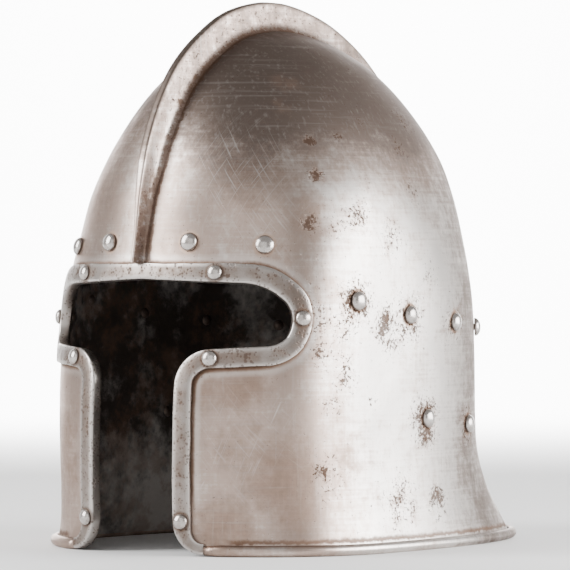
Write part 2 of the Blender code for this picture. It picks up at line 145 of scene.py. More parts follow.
def plate_normal(place, turn):
    """Outward normals: the cross product of a small step round the plate and a small step up it."""
    step = 0.001
    place = np.minimum(np.maximum(place, step), apex_place - step)
    around = plate_point(place, turn + step) - plate_point(place, turn - step)
    upward = plate_point(place + step, turn) - plate_point(place - step, turn)
    return unit(np.cross(around, upward))


def turn_at(place, distance):
    """The turn at a signed distance round the plate from the middle of the face.

    The ring at that place is stepped round, its chords are summed, and the turn is read between
    the two steps that the distance falls in.
    """
    turn_samples = 361
    turns = np.linspace(0.0, math.pi, turn_samples)
    ring = plate_point(np.asarray(place)[:, None], turns[None, :])
    run = np.cumsum(np.linalg.norm(np.diff(ring, axis=1), axis=2), axis=1)
    run = np.concatenate((np.zeros((len(run), 1)), run), axis=1)
    wanted = np.abs(distance)[:, None]
    step = np.clip((run < wanted).sum(axis=1), 1, len(turns) - 1)
    row = np.arange(len(run))
    share = (wanted[:, 0] - run[row, step - 1]) / (run[row, step] - run[row, step - 1])
    return np.sign(distance) * (turns[step - 1] + share * (turns[step] - turns[step - 1]))


roll_drop = 0.0045
roll_hollow = 0.00135
roll_slope_height = 0.0035
roll_sweep = math.radians(272.0)

# The rim ends this far behind the line that the sections are drawn about, which places them.
rim_reach = 0.1665
frame_shift = np.array((0.0, skull_high.y - rim_reach, 0.0))

# Visible edge of the strip round the opening, on the plate's surface.
slot_top = 0.148
slot_bottom = 0.1095
slot_reach = 0.0908
stem_half = 0.0282
cheek_radius = 0.0195
chin_radius = 0.0182
strip_lift = 0.0008

# Corners of the slot's end from the brow to the cheek. Columns: distance as a share of the slot's
# reach, height and radius as shares of the slot's height.
slot_corners = ((0.800, 0.930, 0.900), (1.060, 0.480, 0.400), (0.936, 0.085, 0.360))


def opening_outline(arc_steps, spacing):
    """Half the opening's outline as flat points (distance, height) and directions into the plate.

    Straight runs between corners, and at each corner an arc that touches both runs.
    """
    slot = slot_top - slot_bottom
    corners = [(0.0, slot_top, 0.0)]
    corners += [(d * slot_reach, slot_bottom + h * slot, r * slot) for d, h, r in slot_corners]
    corners += [(stem_half, slot_bottom, cheek_radius), (stem_half, strip_lift, chin_radius)]
    corners += [(stem_half + slot_reach, strip_lift, 0.0)]
    corners = np.array(corners)
    points = [corners[:1, :2]]
    inward = [np.array([(0.0, 1.0)])]
    for before, corner, after in zip(corners, corners[1:], corners[2:]):
        entry = (before - corner)[:2] / np.linalg.norm((before - corner)[:2])
        leave = (after - corner)[:2] / np.linalg.norm((after - corner)[:2])
        half = math.acos(entry @ leave) / 2.0
        middle = (entry + leave) / np.linalg.norm(entry + leave)
        centre = corner[:2] + middle * corner[2] / math.sin(half)
        first = corner[:2] + entry * corner[2] / math.tan(half) - centre
        last = corner[:2] + leave * corner[2] / math.tan(half) - centre
        start = math.atan2(first[1], first[0])
        sweep = (math.atan2(last[1], last[0]) - start + math.pi) % (2.0 * math.pi) - math.pi
        angles = start + sweep * np.linspace(0.0, 1.0, arc_steps + 1)
        spokes = np.stack((np.cos(angles), np.sin(angles)), axis=1)
        turning = np.sign(entry[0] * leave[1] - entry[1] * leave[0])
        arc = centre + spokes * corner[2]
        run = np.linalg.norm(arc[0] - points[-1][-1])
        shares = np.linspace(0.0, 1.0, int(run / spacing) + 2)[1:-1, None]
        points += [points[-1][-1] * (1.0 - shares) + arc[0] * shares, arc]
        inward += [inward[-1][-1] * (1.0 - shares) + spokes[0] * turning * shares, spokes * turning]
    return np.concatenate(points), np.concatenate(inward)


def inside_loop(points, loop):
    """Whether flat points lie in a closed loop: a level line from such a point crosses it an odd
    number of times.
    """
    ahead = np.roll(loop, -1, axis=0)
    level = points[:, 1:2]
    crossed = (loop[:, 1] > level) != (ahead[:, 1] > level)
    rise = np.where(ahead[:, 1] == loop[:, 1], 1.0, ahead[:, 1] - loop[:, 1])
    slope = (ahead[:, 0] - loop[:, 0]) / rise
    reach = loop[:, 0] + (level - loop[:, 1]) * slope
    return (crossed & (points[:, 0:1] < reach)).sum(axis=1) % 2 == 1


# Hammering waves, each the product of two sines. Columns: strength, then the x, y and z radians a
# metre and the start of one sine, and the same of the other.
hammer_waves = np.array((
    (1.0, 131.0, 0.0, 57.0, 0.6, 0.0, 97.0, -61.0, 0.0),
    (1.0, 43.0, 0.0, 171.0, 0.0, 73.0, 139.0, 0.0, 1.9),
    (0.5, 0.0, 0.0, 283.0, 1.1, 251.0, -227.0, 0.0, 0.0),
))


def dents(points):
    """Hammering unevenness: the waves' sum over twice their strengths, less a half, from -1 to 0."""
    strength = hammer_waves[:, 0]
    one = np.sin(points @ hammer_waves[:, 1:4].T + hammer_waves[:, 4])
    other = np.sin(points @ hammer_waves[:, 5:8].T + hammer_waves[:, 8])
    return (one * other) @ strength / (2.0 * strength.sum()) - 0.5


# The strip is narrower over the brow: the pinch starts below the slot's top and fades to the sides.
brow_pinch = 0.0019
brow_blend = 0.004
brow_half = 0.060


def brow_narrowing(points):
    """How much narrower the strip is over the slot: most at the middle of the brow, none at its ends."""
    over_slot = np.clip((points[..., 1] - slot_top + brow_blend) / brow_blend, 0.0, 1.0)
    return brow_pinch * over_slot * np.clip(1.25 - np.abs(points[..., 0]) / brow_half, 0.0, 1.0)


def mesh_item(name, points, faces, crease=None):
    """A smooth object from corners and lists of faces, creased where they meet at more than an angle."""
    mesh = bpy.data.meshes.new(name)
    mesh.from_pydata(points.reshape(-1, 3).tolist(), [], faces)
    mesh.shade_smooth()
    if crease is not None:
        mesh.set_sharp_from_angle(angle=math.radians(crease))
    item = bpy.data.objects.new(name, mesh)
    bpy.context.scene.collection.objects.link(item)
    return item


# The plate's corners: evenly spaced up its side, round its roll, and round the row at the cheeks.
plate_rows = 150
roll_rows = 16
plate_columns = 288
ring_samples = 2881
even_row = 4.0
side_run = run_along(plate_point(table_places, math.pi / 2.0))
even_rise = np.linspace(0.0, side_run[-1], plate_rows + 1)[:-1]
row_shares = np.interp(even_rise, side_run, table_places / apex_place)
fine_turns = np.linspace(-math.pi, math.pi, ring_samples)
ring_run = run_along(plate_point(even_row, fine_turns))
even_run = np.linspace(0.0, ring_run[-1], plate_columns + 1)[:-1]
plate_turns = np.interp(even_run, ring_run, fine_turns)

# The roll starts where its circle, tangent to the plate, just reaches down to the floor.
rim_slope = plate_normal(place_of_height(roll_slope_height), plate_turns)
roll_radius = roll_hollow * (1.0 - 0.5 * rim_slope[:, 2])
roll_start = place_of_height(roll_radius * (1.0 - rim_slope[:, 2]) + plate_thickness)

turn = np.tile(plate_turns, (plate_rows + roll_rows, 1))
place = roll_start + (apex_place - roll_start) * row_shares[:, None]
place = np.concatenate((np.tile(roll_start, (roll_rows, 1)), place))
curl = np.concatenate((np.linspace(roll_sweep, 0.0, roll_rows + 1)[:-1], np.zeros(plate_rows)))[:, None]
curl = np.tile(curl, (1, plate_columns))

# Each corner drawn flat: its distance round the plate from the middle of the face and its height,
# with the roll's corners let down below the rim.
flat_ring = plate_point(place, turn)
ring_steps = np.linalg.norm(np.diff(flat_ring, axis=1), axis=2)
distance = np.concatenate((np.zeros((len(ring_steps), 1)), np.cumsum(ring_steps, axis=1)), axis=1)
distance = np.abs(distance - distance[:, plate_columns // 2, None])
flat = np.stack((distance, flat_ring[..., 2] - curl * roll_drop), axis=-1)

# Four corners of every face, row by row round the plate, and the fan that closes the apex.
count = place.size
index = np.arange(count).reshape(place.shape)
beside = np.roll(index, -1, axis=1)
quads = np.stack((index[:-1], beside[:-1], beside[1:], index[1:]), axis=-1).reshape(-1, 4)

# The T of the face: faces inside its cut edge go, and the corners left on the edge move onto it.
cut_back = 0.0020
strip_end = stem_half + chin_radius
strip_clear = 0.0003
below_rim = -0.03
past_middle = -0.01
edge_points, edge_inward = opening_outline(arc_steps=24, spacing=0.0008)
cut_edge = edge_points + edge_inward * cut_back
cut_foot = strip_end + strip_clear
tail_points = 60
cut_tail = np.linspace((cut_foot, strip_lift + cut_back), (cut_foot, below_rim), tail_points)
cut_edge = np.concatenate((cut_edge, cut_tail))
cut_loop = np.concatenate((cut_edge, ((past_middle, below_rim), (past_middle, slot_top + cut_back))))
flat_points = flat.reshape(-1, 2)
gone = inside_loop(flat_points[quads].mean(axis=1), cut_loop)
on_edge = np.intersect1d(quads[gone].ravel(), quads[~gone].ravel())
quads = quads[~gone]
gap_to_edge = flat_points[on_edge, None, :] - cut_edge[None, :, :]
target = cut_edge[np.argmin((gap_to_edge ** 2).sum(axis=2), axis=1)]
side = np.where(turn.ravel()[on_edge] < 0.0, -1.0, 1.0)
on_roll = curl.ravel()[on_edge] > 0.0
new_place = np.where(on_roll, place.ravel()[on_edge], place_of_height(target[:, 1]))
place.ravel()[on_edge] = new_place
turn.ravel()[on_edge] = turn_at(new_place, side * target[:, 0])

# The roll starts half as thick beside the opening, and swells to its full size along the fade.
outward = plate_normal(place, turn)
downward = unit(np.cross(outward, np.cross(outward, (0.0, 0.0, 1.0))))
outer = plate_point(place, turn)
outer = outer + outward * (dents(outer) * dent_depth)[..., None]
bead_fade = 0.010
bead_size = np.clip((flat[..., 0] - strip_end) / bead_fade, 0.0, 1.0)
bead_size = 0.5 + 0.5 * bead_size * bead_size * (3.0 - 2.0 * bead_size)
radius = (roll_radius * bead_size)[..., None]
bead = outward * radius * (1.0 - np.cos(curl))[..., None] + downward * radius * np.sin(curl)[..., None]
outer = outer + bead
behind = outward * np.cos(curl)[..., None] - downward * np.sin(curl)[..., None]
inner = outer - behind * plate_thickness

apex = np.array(((0.0, 0.0, skull_height), (0.0, 0.0, skull_height - plate_thickness)))
shells = np.concatenate((outer.reshape(-1, 3), inner.reshape(-1, 3), apex)) + frame_shift
shells[:, 2] = np.maximum(shells[:, 2], 0.0)
free = np.concatenate([quads[:, [k, (k + 1) % 4]] for k in range(4)])
free = free[~np.isin(free[:, 0] * count + free[:, 1], free[:, 1] * count + free[:, 0])]
top_row = index[-1]
free = free[~(np.isin(free[:, 0], top_row) & np.isin(free[:, 1], top_row))]
walls = np.stack((free[:, 1], free[:, 0], free[:, 0] + count, free[:, 1] + count), axis=1)
fans = np.stack((top_row, np.roll(top_row, -1), np.full(plate_columns, 2 * count)), axis=1)
inner_apex = np.full(plate_columns, 2 * count + 1)
inner_fans = np.stack((np.roll(top_row, -1) + count, top_row + count, inner_apex), axis=1)
rolled = curl.ravel()[quads].max(axis=1) > 0.0
all_quads = np.concatenate((quads, quads[:, ::-1] + count, walls))
all_fans = np.concatenate((fans, inner_fans))
face_parts = np.concatenate((
    np.zeros(len(quads)), np.where(rolled, 0, 1),
    np.zeros(len(walls) + len(fans)), np.ones(len(inner_fans)),
))
skull = mesh_item("skull_plate", shells, all_quads.tolist() + all_fans.tolist())
skull.data.polygons.foreach_set("material_index", face_parts.astype(np.int32))
skull.data.validate()

# Rivets of the lining on the wearer's left, which the right side mirrors. Columns: name, distance
# round the plate as a share of the front reach, height as a share of the skull's height, and how
# rusty the plate is round the left and the right one.
lining_rivets = (
    ("brow_inner", 0.240, 0.583, 0.15, 0.20),
    ("brow_outer", 0.600, 0.577, 0.25, 0.35),
    ("temple", 1.098, 0.473, 0.95, 0.50),
    ("ear", 1.501, 0.446, 0.90, 0.40),
    ("rear_side", 1.925, 0.431, 0.80, 0.70),
    ("rear", 2.345, 0.420, 0.45, 0.60),
    ("nape", 2.730, 0.414, 0.40, 0.35),
    ("lower_side", 1.700, 0.248, 0.90, 0.45),
    ("lower_rear", 2.145, 0.232, 0.80, 0.70),
    ("lower_nape", 2.590, 0.226, 0.40, 0.50),
)


def wrapped(points):
    """Flat points (signed distance, height) laid on the plate: where they are and the normals there."""
    height = np.maximum(points[:, 1], 0.0)
    at = place_of_height(height)
    round_turn = turn_at(at, points[:, 0])
    spot = plate_point(at, round_turn) + frame_shift
    spot[:, 2] = np.where(points[:, 1] < 0.0, points[:, 1], spot[:, 2])
    return spot, plate_normal(at, round_turn)


# How far each corner lies from the strip's edge and from the nearest rivet, for the stains there and the
# painted shadow beside the strip.
rivet_flat = np.array([(d * front_reach, h * skull_height) for _, d, h, _, _ in lining_rivets])
rivet_flat = np.concatenate((rivet_flat, rivet_flat * (-1.0, 1.0)))
rivet_rust = np.array([row[3] for row in lining_rivets] + [row[4] for row in lining_rivets])
rivet_spots, rivet_normals = wrapped(rivet_flat)
rivet_gaps = np.linalg.norm(shells[:, None, :] - rivet_spots[None, :, :], axis=2)
halo_reach = 0.013
rivet_halo = (np.exp(-(rivet_gaps / halo_reach) ** 2) * rivet_rust).max(axis=1)
far_off = 1.0
opening_reach = 0.13
opening_height = 0.18
edge_gaps = np.full(count, far_off)
near_opening = np.flatnonzero((flat_points[:, 0] < opening_reach) & (flat_points[:, 1] < opening_height))
strip_line = edge_points[::3]
spans = flat_points[near_opening, None, :] - strip_line[None, :, :]
edge_gaps[near_opening] = np.sqrt((spans ** 2).sum(axis=2).min(axis=1))
edge_gaps[near_opening] += brow_narrowing(flat_points[near_opening])
edge_gaps = np.concatenate((edge_gaps, edge_gaps, (far_off, far_off)))


def vertex_values(item, name, values):
    """A named value at each corner of a mesh, which its material can read."""
    item.data.attributes.new(name, "FLOAT", "POINT").data.foreach_set("value", values.astype(np.float32))


vertex_values(skull, "from_edge", edge_gaps)
vertex_values(skull, "from_rivet", rivet_gaps.min(axis=1))
vertex_values(skull, "rivet_halo", rivet_halo)


class Signal:
    """A socket of a material in the making. Arithmetic on it adds the Math nodes that do it."""

    def __init__(self, tree, socket=None):
        self.tree = tree
        self.socket = socket

    def node(self, kind, settings=None, inputs=None, output=0):
        """Any node: its settings are set first, then the values or links of its sockets by identifier."""
        made = self.tree.nodes.new(kind)
        for key, value in (settings or {}).items():
            setattr(made, key, value)
        found = {socket.identifier: socket for socket in made.inputs}
        for key, value in (inputs or {}).items():
            if isinstance(value, Signal):
                self.tree.links.new(value.socket, found[key])
            else:
                found[key].default_value = value
        outputs = {socket.identifier: socket for socket in made.outputs}
        return Signal(self.tree, made.outputs[output] if isinstance(output, int) else outputs[output])

    def math(self, operation, first, second):
        return self.node("ShaderNodeMath", {"operation": operation}, {"Value": first, "Value_001": second})

    def __add__(self, other):
        return self.math("ADD", self, other)

    def __sub__(self, other):
        return self.math("SUBTRACT", self, other)

    def __rsub__(self, other):
        return self.math("SUBTRACT", other, self)

    def __mul__(self, other):
        return self.math("MULTIPLY", self, other)

    __radd__ = __add__
    __rmul__ = __mul__

    def most(self, other):
        """The larger of two values."""
        return self.math("MAXIMUM", self, other)

    def fade(self, low, high):
        """A soft step from 0 at low to 1 at high, or the other way round."""
        return self.node(
            "ShaderNodeMapRange", {"interpolation_type": "SMOOTHSTEP"},
            {"Value": self, "From Min": low, "From Max": high}, "Result")

    def tint(self, ground, colour):
        """The ground colour, turning into another one where this value is 1."""
        return self.node(
            "ShaderNodeMix", {"data_type": "RGBA"},
            {"Factor_Float": self, "A_Color": ground, "B_Color": colour}, "Result_Color")


class Steel(Signal):
    """A metal surface: a material with a metallic shader, and the textures that its patterns use."""

    def __init__(self, name, metallic=1.0):
        self.material = bpy.data.materials.new(name)
        self.material.use_nodes = True
        super().__init__(self.material.node_tree)
        self.shader = self.tree.nodes["Principled BSDF"]
        self.shader.inputs["Metallic"].default_value = metallic
        self.place = self.node("ShaderNodeTexCoord", output="Object")
        axes = self.tree.nodes.new("ShaderNodeSeparateXYZ")
        self.tree.links.new(self.place.socket, axes.inputs[0])
        self.x, self.y, self.z = (Signal(self.tree, socket) for socket in axes.outputs)

    def stretched(self, size, turn=(0.0, 0.0, 0.0)):
        """Object coordinates for streaks: turned, then divided by one streak's size along each axis."""
        return self.node(
            "ShaderNodeMapping", {"vector_type": "TEXTURE"},
            {"Vector": self.place, "Rotation": turn, "Scale": size}, "Vector")

    def cloud(self, scale, detail, rough, where=None, warp=0.0):
        """Soft noise about 0.5, with this many patches to a metre."""
        return self.node(
            "ShaderNodeTexNoise", {"noise_dimensions": "3D"},
            {"Vector": where or self.place, "Scale": scale, "Detail": detail, "Roughness": rough,
             "Distortion": warp}, "Fac")

    def specks(self, scale):
        """Distance from the middle of scattered cells, 0 at the middle, in parts of a cell."""
        return self.node(
            "ShaderNodeTexVoronoi", {"feature": "F1"}, {"Vector": self.place, "Scale": scale}, "Distance")

    def named(self, name):
        """A value stored at the mesh's corners."""
        return self.node("ShaderNodeAttribute", {"attribute_name": name}, output="Fac")

    def finish(self, colour, roughness, relief=None, depth=0.0005):
        """Link the colour and the roughness, and lay the relief on as bumps of this depth."""
        self.tree.links.new(colour.socket, self.shader.inputs["Base Color"])
        self.tree.links.new(roughness.socket, self.shader.inputs["Roughness"])
        if relief is not None:
            heights = {"Height": relief, "Distance": depth, "Strength": 1.0}
            bump = self.node("ShaderNodeBump", None, heights)
            self.tree.links.new(bump.socket, self.shader.inputs["Normal"])
        return self.material


# Where the plate is pitted, stained brown and crossed by fine scratches. Columns: x, y, z and reach
# in millimetres, and how strong it is.
pitted_spots = (
    (90, -94, 127, 20, 0.85), (91, -92, 108, 16, 0.70), (94, -76, 124, 24, 0.62), (86, -96, 143, 16, 0.45),
    (97, -24, 127, 26, 0.85), (92, 26, 123, 26, 0.70), (96, -6, 70, 26, 0.80), (86, 48, 67, 24, 0.70),
    (93, -88, 41, 22, 0.40), (99, -33, 30, 30, 0.55), (97, 6, 25, 18, 1.00), (74, -46, 196, 26, 0.45),
    (60, -30, 236, 22, 0.45), (60, 20, 240, 26, 0.50), (-96, 8, 96, 34, 0.60), (-80, 58, 140, 30, 0.55),
    (-40, 92, 110, 30, 0.50), (30, 106, 60, 30, 0.50), (-70, -60, 200, 26, 0.45), (67, -73, 223, 7, 1.10),
    (72, -55, 225, 6, 1.10), (76, -79, 204, 9, 0.95), (81, -89, 178, 10, 0.85), (88, -78, 176, 18, 0.55),
    (91, -63, 183, 22, 0.50), (96, -34, 170, 22, 0.45), (73, -2, 220, 14, 0.50), (85, -4, 196, 18, 0.50),
    (95, -78, 99, 24, 0.60), (97, -54, 82, 8, 0.90), (94, -86, 80, 14, 0.50), (95, 0, 153, 18, 0.55),
    (97, -42, 121, 26, 0.75), (91, -91, 44, 12, 0.60),
)
brown_spots = (
    (43, -132, 94, 30, 1.00), (69, -108, 163, 18, 0.70), (49, -110, 202, 26, 0.60),
    (58, -106, 188, 18, 0.55), (80, -88, 180, 24, 0.55), (55, -130, 13, 34, 1.15),
    (85, -104, 22, 30, 0.70), (20, -128, 166, 20, 0.50), (-40, -118, 190, 34, 0.50),
    (-62, -116, 50, 60, 1.00), (-97, -10, 60, 40, 0.50), (0, 102, 150, 60, 0.45),
    (96, -74, 60, 34, 0.35), (60, -122, 62, 34, 0.60), (78, -110, 44, 40, 1.15),
    (60, -124, 92, 30, 1.10), (76, -79, 204, 10, 0.60), (44, -67, 254, 16, 0.60),
    (50, -76, 243, 14, 0.50),
)
hatched_spots = ((44, -106, 204, 46, 1.0), (64, -106, 180, 40, 0.8), (60, -120, 60, 46, 0.6))


def spots(steel, places):
    """The strongest of several soft round patches, each 1 in its middle times its strength."""
    found = None
    for x, y, z, reach, strength in places:
        middle = (x / 1000.0, y / 1000.0, z / 1000.0)
        gap = steel.node(
            "ShaderNodeVectorMath", {"operation": "DISTANCE"},
            {"Vector": steel.place, "Vector_001": middle}, "Value")
        patch = gap.fade(reach / 1000.0, 0.0) * strength
        found = patch if found is None else found.most(patch)
    return found


def long_scratch(steel, start, end, wide):
    """A straight scratch: the distance from the line through two points, cut off at their heights."""
    run_out = 0.004
    start, end = np.array(start) / 1000.0, np.array(end) / 1000.0
    way = tuple((end - start) / np.linalg.norm(end - start))
    from_start = steel.node(
        "ShaderNodeVectorMath", {"operation": "SUBTRACT"},
        {"Vector": steel.place, "Vector_001": tuple(start)})
    area = steel.node(
        "ShaderNodeVectorMath", {"operation": "CROSS_PRODUCT"}, {"Vector": from_start, "Vector_001": way})
    gap = steel.node("ShaderNodeVectorMath", {"operation": "LENGTH"}, {"Vector": area}, "Value")
    span = steel.z.fade(start[2], start[2] + run_out) * steel.z.fade(end[2], end[2] - run_out)
    return gap.fade(wide, 0.3 * wide) * span


def plate_finish(name):
    """Old polish gone warm grey under a brown patina, with painted shade over the crown and beside the
    strip, rust pits, dirty seams and scratches.
    """
    polish, tarnish = (0.665, 0.628, 0.596, 1.0), (0.415, 0.320, 0.272, 1.0)
    dark_patina_and_shade, stain = (0.122, 0.095, 0.081, 1.0), (0.300, 0.200, 0.150, 1.0)
    rubbed_line, smudged = (0.700, 0.665, 0.640, 1.0), (0.250, 0.190, 0.156, 1.0)
    fresh_rust, old_rust = (0.560, 0.400, 0.310, 1.0), (0.250, 0.145, 0.092, 1.0)
    seam_dirt_and_shade, pit_black = (0.120, 0.066, 0.040, 1.0), (0.075, 0.046, 0.033, 1.0)
    rubbed_lip, fresh_cut = (0.780, 0.740, 0.710, 1.0), (0.760, 0.740, 0.720, 1.0)
    steel = Steel(name)
    broad = steel.cloud(13.0, 3.0, 0.55, warp=0.5)
    mottle = steel.cloud(60.0, 5.0, 0.64)
    grain = steel.cloud(210.0, 4.0, 0.7)
    fleck = steel.cloud(560.0, 3.0, 0.75)
    streak = steel.cloud(1.0, 3.0, 0.6, steel.stretched((0.0024, 0.0024, 0.050)))
    hoops = steel.cloud(1.0, 3.0, 0.6, steel.stretched((0.050, 0.050, 0.0016)))
    on_flank, on_crest = steel.named("on_flank"), steel.named("on_crest")

    # Patina: warm brown over the face and the wearer's right, darkest over the crown and the back; over
    # the crown and the comb's crest top that darkening is partly painted shade.
    brown = spots(steel, brown_spots)
    uneven = (broad - 0.5) * 0.9 + (mottle - 0.5) * 1.4 + (grain - 0.5) * 1.0
    lines = (streak - 0.5) * 0.7 + (hoops - 0.5) * 0.9
    warm = steel.y.fade(-0.050, -0.105).most(steel.z.fade(0.165, 0.230)).most(steel.x.fade(0.02, -0.04))
    warm = (warm * 0.76 + 0.18 + brown * 0.4 + uneven + lines).fade(0.05, 1.05)
    ground = warm.tint(polish, tarnish)
    # Painted shade: the crown and the top of the comb's crest darken with height, less on the comb's
    # flanks, on top of the patina.
    crest = on_crest * steel.z.fade(0.200, 0.240)
    crown = steel.z.fade(0.180, 0.255) * (0.82 + steel.x.fade(-0.02, 0.06) * 0.60)
    crown = crown * (1.0 - on_flank * 0.4)
    rear = steel.y.fade(-0.020, 0.060) * 0.85
    patina_and_shade = crown.most(rear) + crest * 0.8 + brown * 0.60 + uneven * 0.75 + lines * 0.6
    patina_and_shade = (patina_and_shade - 0.10).fade(0.0, 1.0)
    ground = (patina_and_shade * 0.94).tint(ground, dark_patina_and_shade)
    wash = (brown * 1.1 + uneven * 0.9 - 0.1).fade(0.15, 1.1)
    ground = (wash * 0.60).tint(ground, stain)
    shine = streak.fade(0.52, 0.78) * 0.16 + hoops.fade(0.52, 0.80) * 0.14
    ground = shine.tint(ground, rubbed_line)

    # Pits: fine dark specks that crowd together in the pitted patches and round the rivets.
    halo = steel.named("rivet_halo")
    field = spots(steel, pitted_spots).most(halo) * (mottle * 2.6 - 0.55)
    field = field + (broad - 0.45) * 0.3 + on_flank * 0.20
    field = field.fade(-0.2, 1.4) * 1.3 - 0.05
    fine = (field * 0.90 + (fleck - 0.5) * 2.6 - 0.46).fade(0.0, 0.10)
    deep = (field * 0.86 + (grain - 0.5) * 1.8 - 0.55 - steel.specks(420.0) * 0.25).fade(0.0, 0.12)
    pitted = (fine * 0.95).most(deep)
    smudge = (field + (mottle - 0.5) * 1.4 + (grain - 0.5) * 1.2).fade(0.25, 1.2)
    ground = (smudge * 0.46).tint(ground, smudged)
    rust = (halo + (grain - 0.5) * 1.6 + (fleck - 0.5) - 0.1).fade(0.25, 1.0)
    ground = (rust * 0.60).tint(ground, old_rust)

    # Seams: dirt along the comb's foot and up its flanks, over the roll and round the rivets, dirt with a
    # painted shadow beside the strip, and a rubbed lip where the plate meets the strip.
    ragged = (steel.cloud(240.0, 4.0, 0.7) - 0.5) * 0.004
    foot = steel.named("from_comb") + ragged * 0.8
    line = foot.fade(0.0022, 0.0012) * foot.fade(-0.0006, 0.0003) * (mottle + fleck).fade(0.75, 1.05)
    loose = foot.fade(0.0050, 0.0010) * foot.fade(-0.0035, 0.0)
    loose = (loose + (grain - 0.5) * 2.2).fade(0.45, 0.9) * 0.8
    flank = on_flank * steel.z.fade(0.225, 0.180)
    flank = (flank + (fleck - 0.5) * 2.8).fade(0.45, 1.35) * 0.75
    comb_seam = line.most(loose).most(flank) * (1.0 - on_crest)
    high = steel.z + ragged
    rim_seam = high.fade(0.0060, 0.0072) * high.fade(0.0100, 0.0078)
    from_edge = steel.named("from_edge")
    rim_seam = rim_seam * from_edge.fade(0.012, 0.020)
    beside = from_edge + ragged * 0.4
    above_foot = steel.z.fade(0.020, 0.036)
    # Painted shadow, with dirt: the plate darkens in a band just outside the strip, weaker near the chin.
    strip_shadow_and_dirt = beside.fade(0.0132, 0.0110) * (0.2 + above_foot * 0.8)
    lip = beside.fade(0.0120, 0.0134) * from_edge.fade(0.0168, 0.0136)
    ground = (lip * above_foot * 0.30).tint(ground, rubbed_lip)
    ring = (steel.named("from_rivet") + ragged * 0.25).fade(0.0072, 0.0060)
    ground = (ring * 0.60).tint(ground, fresh_rust)
    # The seams' brown is dirt, and beside the strip it is also painted shadow.
    dirt_and_shade_seams = (comb_seam * 0.9).most(rim_seam * 0.95).most(strip_shadow_and_dirt).most(ring * halo)
    ground = (dirt_and_shade_seams * 0.85).tint(ground, seam_dirt_and_shade)
    ground = (pitted * 0.92).tint(ground, pit_black)

    # Scratches: short ones that cross two ways in their patches, and two long ones on the cheek.
    scratch = steel.cloud(1.0, 2.0, 0.5, steel.stretched((0.0006, 1.0, 0.024), (0.0, -0.62, 0.0)))
    cross = steel.cloud(1.0, 2.0, 0.5, steel.stretched((0.0006, 1.0, 0.028), (0.0, 0.35, 0.0)))
    hatched = spots(steel, hatched_spots) * 0.36
    cut = scratch.fade(0.58, 0.70).most(cross.fade(0.59, 0.71)) * hatched
    cut = cut.most(long_scratch(steel, (43, -136, 36), (70, -121, 86), 0.0007) * 0.7)
    cut = cut.most(long_scratch(steel, (66, -124, 44), (80, -112, 84), 0.0006) * 0.4)
    ground = cut.tint(ground, fresh_cut)
    roughness = 0.33 + patina_and_shade * 0.16 + pitted * 0.22 + dirt_and_shade_seams * 0.25 + rust * 0.16 + (mottle - 0.5) * 0.10
    relief = broad * 0.5 + mottle * 0.14 + grain * 0.03 + streak * 0.05 - pitted * 0.26 - cut * 0.05
    steel.shader.inputs["Specular Tint"].default_value = (0.70, 0.66, 0.64, 1.0)
    return steel.finish(ground, roughness, relief, 0.0008)


def inside_finish(name):
    """The inside, never polished: black scale and brown rust with a little bare steel, and painted light
    low down drawn as more of that lighter steel.
    """
    scale, bare_steel_and_light = (0.042, 0.032, 0.027, 1.0), (0.480, 0.450, 0.430, 1.0)
    old_rust = (0.190, 0.105, 0.066, 1.0)
    steel = Steel(name, metallic=0.2)
    broad = steel.cloud(26.0, 5.0, 0.65)
    grain = steel.cloud(130.0, 5.0, 0.7)
    # Painted light: the lighter bare steel colour spreads further towards the rim, where light comes in
    # from below.
    bare_and_light = (broad + steel.z.fade(0.100, 0.010) * 0.20 + (grain - 0.5) * 0.4).fade(0.46, 0.76)
    rust = (steel.cloud(46.0, 4.0, 0.7) + grain * 0.5).fade(0.70, 0.92)
    ground = (rust * 0.45).tint(bare_and_light.tint(scale, bare_steel_and_light), old_rust)
    roughness = 0.50 - bare_and_light * 0.12 + rust * 0.2
    return steel.finish(ground, roughness, grain * 0.5 + broad, 0.0008)


plate_steel = plate_finish("plate_steel")
skull.data.materials.append(plate_steel)
skull.data.materials.append(inside_finish("inside_scale"))
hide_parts("skull")
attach(skull, "root")


# Comb
# A ridge that stands on the skull's middle line from the brow over the crown to the nape. It is
# raised in one with the plate, so its foot runs out into the plate without a joint.

comb_height = 0.0155
comb_root = 0.0058
comb_crest = 0.0024
comb_bend = 0.0025
bend_share = 0.14
comb_front = slot_top + 0.0085
comb_nape = 0.150
comb_stations = 220
line_samples = 600

# Columns: place along the root as a share of its run, height as a share of the comb's height.
comb_rise = np.array((
    (0.00, 0.50), (0.03, 0.51), (0.06, 0.56), (0.10, 0.66), (0.14, 0.79), (0.18, 0.88),
    (0.24, 0.96), (0.32, 1.00), (0.50, 1.00), (0.60, 0.93), (0.70, 0.80), (0.80, 0.60), (0.90, 0.36),
    (0.97, 0.14), (1.00, -0.03),
))

# Half the comb's section from the middle of the crest out to the foot. Columns: across, 0 at the
# crest's edge and 1 at the root, and height as a share of the rise.
comb_section = np.array((
    (-1.00, 1.000), (-0.60, 0.998), (-0.30, 0.990), (-0.12, 0.975), (-0.03, 0.950), (0.01, 0.900),
    (0.04, 0.800), (0.07, 0.680), (0.11, 0.550), (0.17, 0.420), (0.26, 0.290), (0.38, 0.185),
    (0.54, 0.100), (0.74, 0.045), (1.00, 0.010), (1.35, -0.020),
))


def soft_curve(x, knots):
    """A smooth curve through knots: between two of them a cubic with the average slope at each."""
    slopes = np.gradient(knots[:, 1], knots[:, 0])
    step = np.clip(np.searchsorted(knots[:, 0], x) - 1, 0, len(knots) - 2)
    width = knots[step + 1, 0] - knots[step, 0]
    t = np.clip((x - knots[step, 0]) / width, 0.0, 1.0)
    start = (2.0 * t ** 3 - 3.0 * t ** 2 + 1.0) * knots[step, 1]
    start = start + (t ** 3 - 2.0 * t ** 2 + t) * width * slopes[step]
    end = (3.0 * t ** 2 - 2.0 * t ** 3) * knots[step + 1, 1]
    end = end + (t ** 3 - t ** 2) * width * slopes[step + 1]
    return start + end


